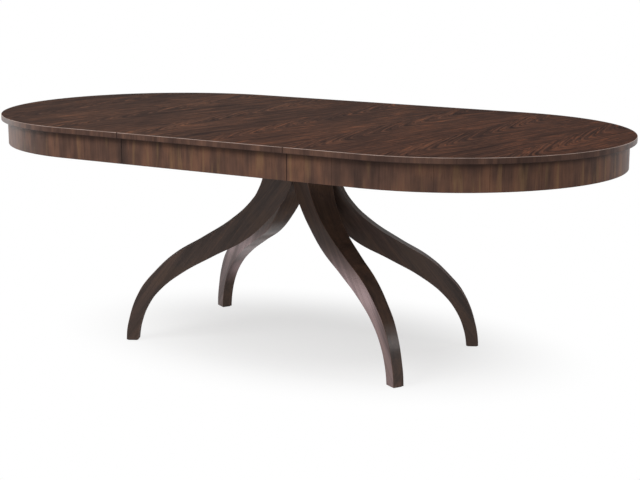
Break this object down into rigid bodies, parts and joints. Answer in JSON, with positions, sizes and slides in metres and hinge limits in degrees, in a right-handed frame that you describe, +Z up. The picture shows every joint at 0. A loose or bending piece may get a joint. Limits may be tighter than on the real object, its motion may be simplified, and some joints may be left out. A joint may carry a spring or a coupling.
{
  "type": "extending dining table",
  "caption": "Oblong dining table with round ends and a loose middle leaf, its halves sliding apart on geared runners over a pedestal of four swept legs.",
  "frame": {"origin": "on the floor under the middle of the table", "axes": "+X along the table's length, +Z up, front towards -Y"},
  "size_m": [2.24, 1.156, 0.762],
  "materials": {
    "top_veneer": "figured veneer under satin lacquer",
    "apron_veneer": "upright-grained veneer under satin lacquer",
    "leg_lacquer": "dark stained wood under semi-gloss lacquer",
    "slide_wood": "planed hardwood, waxed",
    "frame_wood": "planed wood, unfinished",
    "zinc_steel": "zinc plated",
    "plate_steel": "pressed steel, bright zinc",
    "pinion_plastic": "moulded nylon",
    "pin_wood": "turned beech",
    "glide_plastic": "moulded nylon"
  },
  "bodies": {
    "pedestal": {"leg_front_left": "leg_lacquer", "leg_back_left": "leg_lacquer", "leg_front_right": "leg_lacquer", "leg_back_right": "leg_lacquer", "leg_core": "frame_wood", "foot_glides": "glide_plastic", "bearer": "frame_wood", "leg_bolts": "zinc_steel", "leg_washers": "zinc_steel", "rail_screws": "zinc_steel", "stop_pins": "zinc_steel", "pinion_axles": "zinc_steel", "fixed_rail_front": "slide_wood", "fixed_rail_back": "slide_wood"},
    "left_half": {"top_left": "top_veneer", "apron_left": "apron_veneer", "apron_blocks_left": "frame_wood", "batten_left": "frame_wood", "racks_left": "plate_steel", "runner_screws_left": "zinc_steel", "seam_pins_left": "pin_wood", "runner_left_front": "slide_wood", "runner_left_back": "slide_wood", "lock_bases_left": "plate_steel"},
    "right_half": {"top_right": "top_veneer", "apron_right": "apron_veneer", "apron_blocks_right": "frame_wood", "batten_right": "frame_wood", "racks_right": "plate_steel", "runner_screws_right": "zinc_steel", "seam_pins_right": "pin_wood", "runner_right_front": "slide_wood", "runner_right_back": "slide_wood", "keeper_plates_right": "plate_steel", "keeper_posts_right": "plate_steel"},
    "leaf": {"top_leaf": "top_veneer", "leaf_apron_front": "apron_veneer", "leaf_apron_back": "apron_veneer", "leaf_blocks": "frame_wood", "keeper_plates_leaf": "plate_steel", "keeper_posts_leaf": "plate_steel", "lock_bases_leaf": "plate_steel"},
    "pinion_front": {"pinion_front": "pinion_plastic"},
    "pinion_back": {"pinion_back": "pinion_plastic"},
    "half_hook_front": {"half_hook_front": "plate_steel"},
    "half_hook_back": {"half_hook_back": "plate_steel"},
    "leaf_hook_front": {"leaf_hook_front": "plate_steel"},
    "leaf_hook_back": {"leaf_hook_back": "plate_steel"}
  },
  "joints": [
    {"name": "left_half_slide", "type": "slide", "parent": "pedestal", "child": "left_half", "axis": [-1, 0, 0], "range_m": [0, 0.04]},
    {"name": "right_half_slide", "type": "slide", "parent": "pedestal", "child": "right_half", "axis": [1, 0, 0], "range_m": [0, 0.04]},
    {"name": "pinion_front_spin", "type": "hinge", "parent": "pedestal", "child": "pinion_front", "pos_m": [0, -0.17, 0.73], "axis": [0, 0, 1], "range_deg": [-77, 0]},
    {"name": "pinion_back_spin", "type": "hinge", "parent": "pedestal", "child": "pinion_back", "pos_m": [0, 0.17, 0.73], "axis": [0, 0, 1], "range_deg": [0, 77]},
    {"name": "leaf_lift", "type": "slide", "parent": "pedestal", "child": "leaf", "axis": [0, 0, 1], "range_m": [0, 0.25]},
    {"name": "half_hook_front_turn", "type": "hinge", "parent": "left_half", "child": "half_hook_front", "pos_m": [-0.34, -0.3, 0.74], "axis": [0, 0, 1], "range_deg": [0, 90]},
    {"name": "half_hook_back_turn", "type": "hinge", "parent": "left_half", "child": "half_hook_back", "pos_m": [-0.34, 0.3, 0.74], "axis": [0, 0, -1], "range_deg": [0, 90]},
    {"name": "leaf_hook_front_turn", "type": "hinge", "parent": "leaf", "child": "leaf_hook_front", "pos_m": [0.27, -0.3, 0.74], "axis": [0, 0, 1], "range_deg": [0, 90]},
    {"name": "leaf_hook_back_turn", "type": "hinge", "parent": "leaf", "child": "leaf_hook_back", "pos_m": [0.27, 0.3, 0.74], "axis": [0, 0, -1], "range_deg": [0, 90]}
  ],
  "couplings": [
    {"joint": "right_half_slide", "follows": "left_half_slide", "ratio": 1},
    {"joint": "pinion_back_spin", "follows": "left_half_slide", "rad_per_m": 33.333},
    {"joint": "pinion_front_spin", "follows": "left_half_slide", "rad_per_m": -33.333}
  ]
}
